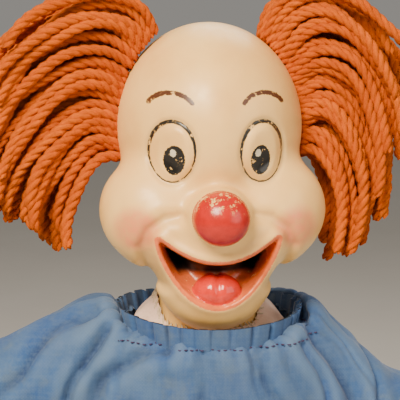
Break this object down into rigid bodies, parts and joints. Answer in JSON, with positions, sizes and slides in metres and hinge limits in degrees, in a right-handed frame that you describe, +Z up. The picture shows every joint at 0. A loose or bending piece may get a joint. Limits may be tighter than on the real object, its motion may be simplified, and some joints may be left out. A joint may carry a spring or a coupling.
{
  "type": "marionette puppet",
  "caption": "Clown marionette with a hollow moulded head, yarn hair, jointed wooden body and gathered cotton suit, with eyes for its strings.",
  "frame": {"origin": "middle of the head cross rod, halfway between the two string loops", "axes": "+Z up along the hanging puppet, -Y the way the face looks, +X the puppet's left"},
  "size_m": [0.178, 0.0928, 0.3999],
  "materials": {
    "vinyl": "satin moulded vinyl, aged ivory",
    "yarn": "bulky three-ply yarn",
    "wood": "clear sealed limewood",
    "steel": "bright drawn wire",
    "brass": "bright",
    "blue_cotton": "washed and faded cotton",
    "calico": "plain woven cotton",
    "glove": "satin moulded vinyl",
    "shoe_red": "gloss",
    "sole": "matt"
  },
  "bodies": {
    "head": {"head_shell": "vinyl", "head_cross_rod": "steel", "neck_plug": "wood", "hair_strip_left": "yarn", "hair_strip_right": "yarn", "hair_tuft_left": "yarn", "hair_tuft_right": "yarn"},
    "neck_link": {"neck_eye_bolt": "steel", "neck_bolt_nut": "steel", "neck_cloth": "calico", "neck_elastic": "calico"},
    "torso": {"chest_block": "wood", "neck_yoke": "steel", "yoke_screws": "steel", "neck_pin": "steel", "chest_pads": "calico", "tunic": "blue_cotton", "waist_pin": "steel"},
    "shoulder_link_left": {"shoulder_bolt_left": "steel"},
    "upper_arm_left": {"upper_arm_left": "wood", "shoulder_pin_left": "steel", "upper_sleeve_left": "blue_cotton", "elbow_pin_left": "steel"},
    "forearm_left": {"forearm_left": "wood", "lower_sleeve_left": "blue_cotton", "wrist_pin_left": "steel"},
    "hand_left": {"hand_left": "glove", "hand_string_eye_left": "brass"},
    "shoulder_link_right": {"shoulder_bolt_right": "steel"},
    "upper_arm_right": {"upper_arm_right": "wood", "shoulder_pin_right": "steel", "upper_sleeve_right": "blue_cotton", "elbow_pin_right": "steel"},
    "forearm_right": {"forearm_right": "wood", "lower_sleeve_right": "blue_cotton", "wrist_pin_right": "steel"},
    "hand_right": {"hand_right": "glove", "hand_string_eye_right": "brass"},
    "pelvis": {"pelvis_block": "wood", "hip_axle": "steel", "trouser_seat": "blue_cotton", "back_string_eye": "brass"},
    "thigh_left": {"thigh_left": "wood", "knee_pin_left": "steel", "knee_string_eye_left": "brass", "trouser_thigh_left": "blue_cotton"},
    "shin_left": {"shin_left": "wood", "trouser_shin_left": "blue_cotton"},
    "foot_left": {"shoe_upper_left": "shoe_red", "shoe_sole_left": "sole", "ankle_pin_left": "steel"},
    "thigh_right": {"thigh_right": "wood", "knee_pin_right": "steel", "knee_string_eye_right": "brass", "trouser_thigh_right": "blue_cotton"},
    "shin_right": {"shin_right": "wood", "trouser_shin_right": "blue_cotton"},
    "foot_right": {"shoe_upper_right": "shoe_red", "shoe_sole_right": "sole", "ankle_pin_right": "steel"}
  },
  "joints": [
    {"name": "neck_turn", "type": "hinge", "parent": "head", "child": "neck_link", "pos_m": [0, 0, -0.082], "axis": [0, 0, 1], "range_deg": [-30, 30]},
    {"name": "neck_nod", "type": "hinge", "parent": "neck_link", "child": "torso", "pos_m": [0, 0, -0.088], "axis": [1, 0, 0], "range_deg": [-8, 15]},
    {"name": "shoulder_swing_left", "type": "hinge", "parent": "torso", "child": "shoulder_link_left", "pos_m": [0.054, 0, -0.108], "axis": [-1, 0, 0], "range_deg": [-45, 110]},
    {"name": "arm_raise_left", "type": "hinge", "parent": "shoulder_link_left", "child": "upper_arm_left", "pos_m": [0.072, 0, -0.108], "axis": [0, -1, 0], "range_deg": [-4, 100]},
    {"name": "elbow_left", "type": "hinge", "parent": "upper_arm_left", "child": "forearm_left", "pos_m": [0.072, 0, -0.168], "axis": [-1, 0, 0], "range_deg": [0, 100]},
    {"name": "wrist_left", "type": "hinge", "parent": "forearm_left", "child": "hand_left", "pos_m": [0.072, 0, -0.22], "axis": [-1, 0, 0], "range_deg": [-30, 60]},
    {"name": "shoulder_swing_right", "type": "hinge", "parent": "torso", "child": "shoulder_link_right", "pos_m": [-0.054, 0, -0.108], "axis": [-1, 0, 0], "range_deg": [-45, 110]},
    {"name": "arm_raise_right", "type": "hinge", "parent": "shoulder_link_right", "child": "upper_arm_right", "pos_m": [-0.072, 0, -0.108], "axis": [0, 1, 0], "range_deg": [-4, 100]},
    {"name": "elbow_right", "type": "hinge", "parent": "upper_arm_right", "child": "forearm_right", "pos_m": [-0.072, 0, -0.168], "axis": [-1, 0, 0], "range_deg": [0, 100]},
    {"name": "wrist_right", "type": "hinge", "parent": "forearm_right", "child": "hand_right", "pos_m": [-0.072, 0, -0.22], "axis": [-1, 0, 0], "range_deg": [-30, 60]},
    {"name": "waist_bend", "type": "hinge", "parent": "torso", "child": "pelvis", "pos_m": [0, 0, -0.174], "axis": [-1, 0, 0], "range_deg": [-10, 35]},
    {"name": "hip_left", "type": "hinge", "parent": "pelvis", "child": "thigh_left", "pos_m": [0.021, 0, -0.206], "axis": [-1, 0, 0], "range_deg": [-25, 90]},
    {"name": "knee_left", "type": "hinge", "parent": "thigh_left", "child": "shin_left", "pos_m": [0.021, 0, -0.274], "axis": [1, 0, 0], "range_deg": [0, 100]},
    {"name": "ankle_left", "type": "hinge", "parent": "shin_left", "child": "foot_left", "pos_m": [0.021, 0, -0.338], "axis": [1, 0, 0], "range_deg": [-5, 20]},
    {"name": "hip_right", "type": "hinge", "parent": "pelvis", "child": "thigh_right", "pos_m": [-0.021, 0, -0.206], "axis": [-1, 0, 0], "range_deg": [-25, 90]},
    {"name": "knee_right", "type": "hinge", "parent": "thigh_right", "child": "shin_right", "pos_m": [-0.021, 0, -0.274], "axis": [1, 0, 0], "range_deg": [0, 100]},
    {"name": "ankle_right", "type": "hinge", "parent": "shin_right", "child": "foot_right", "pos_m": [-0.021, 0, -0.338], "axis": [1, 0, 0], "range_deg": [-5, 20]}
  ]
}
